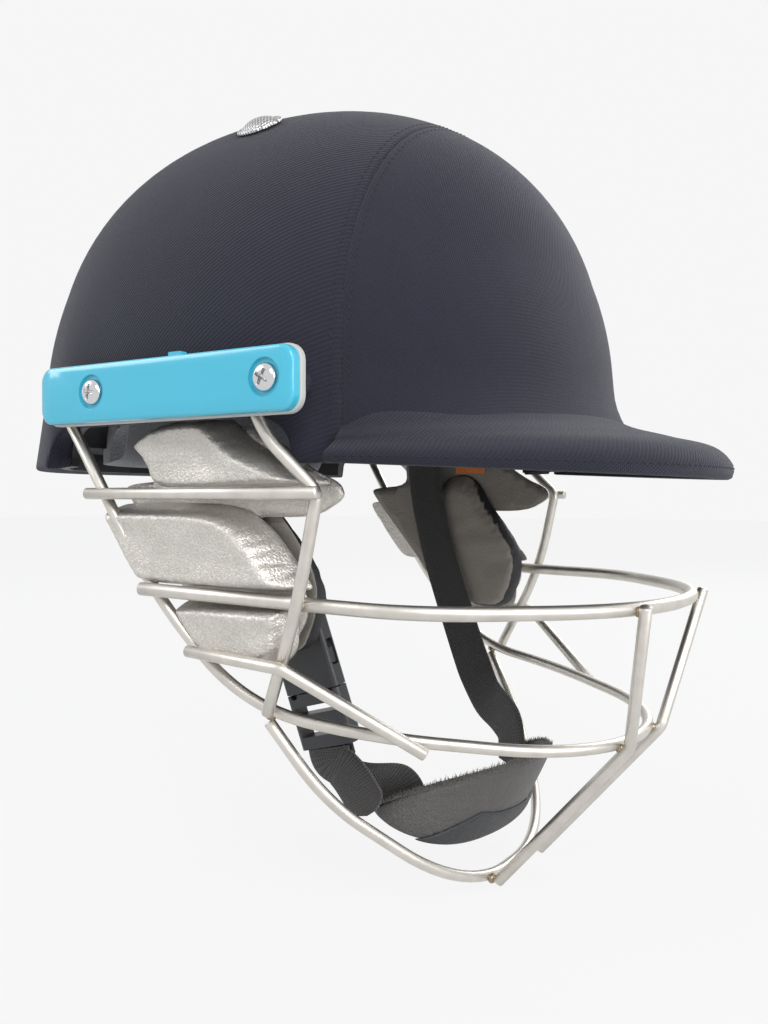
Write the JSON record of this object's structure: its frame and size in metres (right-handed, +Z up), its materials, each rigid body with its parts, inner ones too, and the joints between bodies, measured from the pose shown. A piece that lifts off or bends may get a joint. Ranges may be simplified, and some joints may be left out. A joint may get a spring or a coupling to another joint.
{
  "type": "cricket batting helmet",
  "caption": "Cloth covered batting helmet with a peak, a welded wire face guard, padded side guards and a chin strap with a side release buckle and chin cup.",
  "frame": {"origin": "middle of the head opening, in the plane of the shell's rim", "axes": "+X towards the wearer's left, -Y towards the face side and the peak, +Z up through the crown"},
  "size_m": [0.225, 0.2866, 0.3041],
  "materials": {
    "navy_cloth": "twill",
    "shell_plastic": "moulded",
    "liner_foam": "soft foam",
    "comfort_cloth": "brushed",
    "turquoise_plastic": "gloss",
    "grey_plastic": "satin",
    "stainless_wire": "satin",
    "chromed_steel": "polished",
    "silver_leather": "metallic grain",
    "inner_leather": "grain",
    "webbing": "woven",
    "buckle_plastic": "moulded",
    "cup_leather": "soft grain",
    "tab_cloth": "woven"
  },
  "bodies": {
    "helmet": {"brow_pad": "comfort_cloth", "cheek_pad_left": "inner_leather", "cheek_pad_right": "inner_leather", "cover_front_panel": "navy_cloth", "cover_peak": "navy_cloth", "cover_rear_panel": "navy_cloth", "crown_pad": "comfort_cloth", "crown_vents": "chromed_steel", "diagonal_rod_left": "stainless_wire", "diagonal_rod_right": "stainless_wire", "front_bar_left": "stainless_wire", "front_bar_right": "stainless_wire", "front_upright_left": "stainless_wire", "front_upright_right": "stainless_wire", "guard_nuts": "chromed_steel", "guard_screws": "chromed_steel", "guard_spacers": "chromed_steel", "impact_liner": "liner_foam", "jaw_bar": "stainless_wire", "lower_ring_rod": "stainless_wire", "lower_side_pad_left": "silver_leather", "lower_side_pad_right": "silver_leather", "middle_side_pad_left": "silver_leather", "middle_side_pad_right": "silver_leather", "mounting_bar_left": "stainless_wire", "mounting_bar_right": "stainless_wire", "nape_pad": "comfort_cloth", "pad_sheet_left": "inner_leather", "pad_sheet_right": "inner_leather", "plate_backing_left": "grey_plastic", "plate_backing_right": "grey_plastic", "shell": "shell_plastic", "side_plate_left": "turquoise_plastic", "side_plate_right": "turquoise_plastic", "side_rod_left": "stainless_wire", "side_rod_right": "stainless_wire", "size_tab": "tab_cloth", "strap_posts": "chromed_steel", "upper_ring_rod": "stainless_wire", "upper_side_pad_left": "silver_leather", "upper_side_pad_right": "silver_leather"},
    "chin_strap": {"far_strap": "webbing", "near_strap": "webbing", "near_webbing": "webbing", "strap_tail": "webbing", "buckle_socket": "buckle_plastic", "buckle_plug": "buckle_plastic", "chin_cup": "cup_leather", "cup_under_panel": "cup_leather"},
    "front_prong": {"buckle_prong_front": "buckle_plastic"},
    "rear_prong": {"buckle_prong_rear": "buckle_plastic"}
  },
  "joints": [
    {"name": "strap_swing", "type": "hinge", "parent": "helmet", "child": "chin_strap", "pos_m": [0, -0.008, 0.0245], "axis": [1, 0, 0], "range_deg": [-12, 35]},
    {"name": "front_prong_squeeze", "type": "hinge", "parent": "chin_strap", "child": "front_prong", "pos_m": [-0.06578, -0.0542, -0.07877], "axis": [-0.9937, 0, -0.1123], "range_deg": [0, 9], "stiffness_Nm_per_rad": 0.01},
    {"name": "rear_prong_squeeze", "type": "hinge", "parent": "chin_strap", "child": "rear_prong", "pos_m": [-0.06528, -0.03842, -0.0832], "axis": [-0.9937, 0, -0.1123], "range_deg": [-9, 0], "stiffness_Nm_per_rad": 0.01}
  ],
  "couplings": [
    {"joint": "rear_prong_squeeze", "follows": "front_prong_squeeze", "ratio": -1}
  ]
}
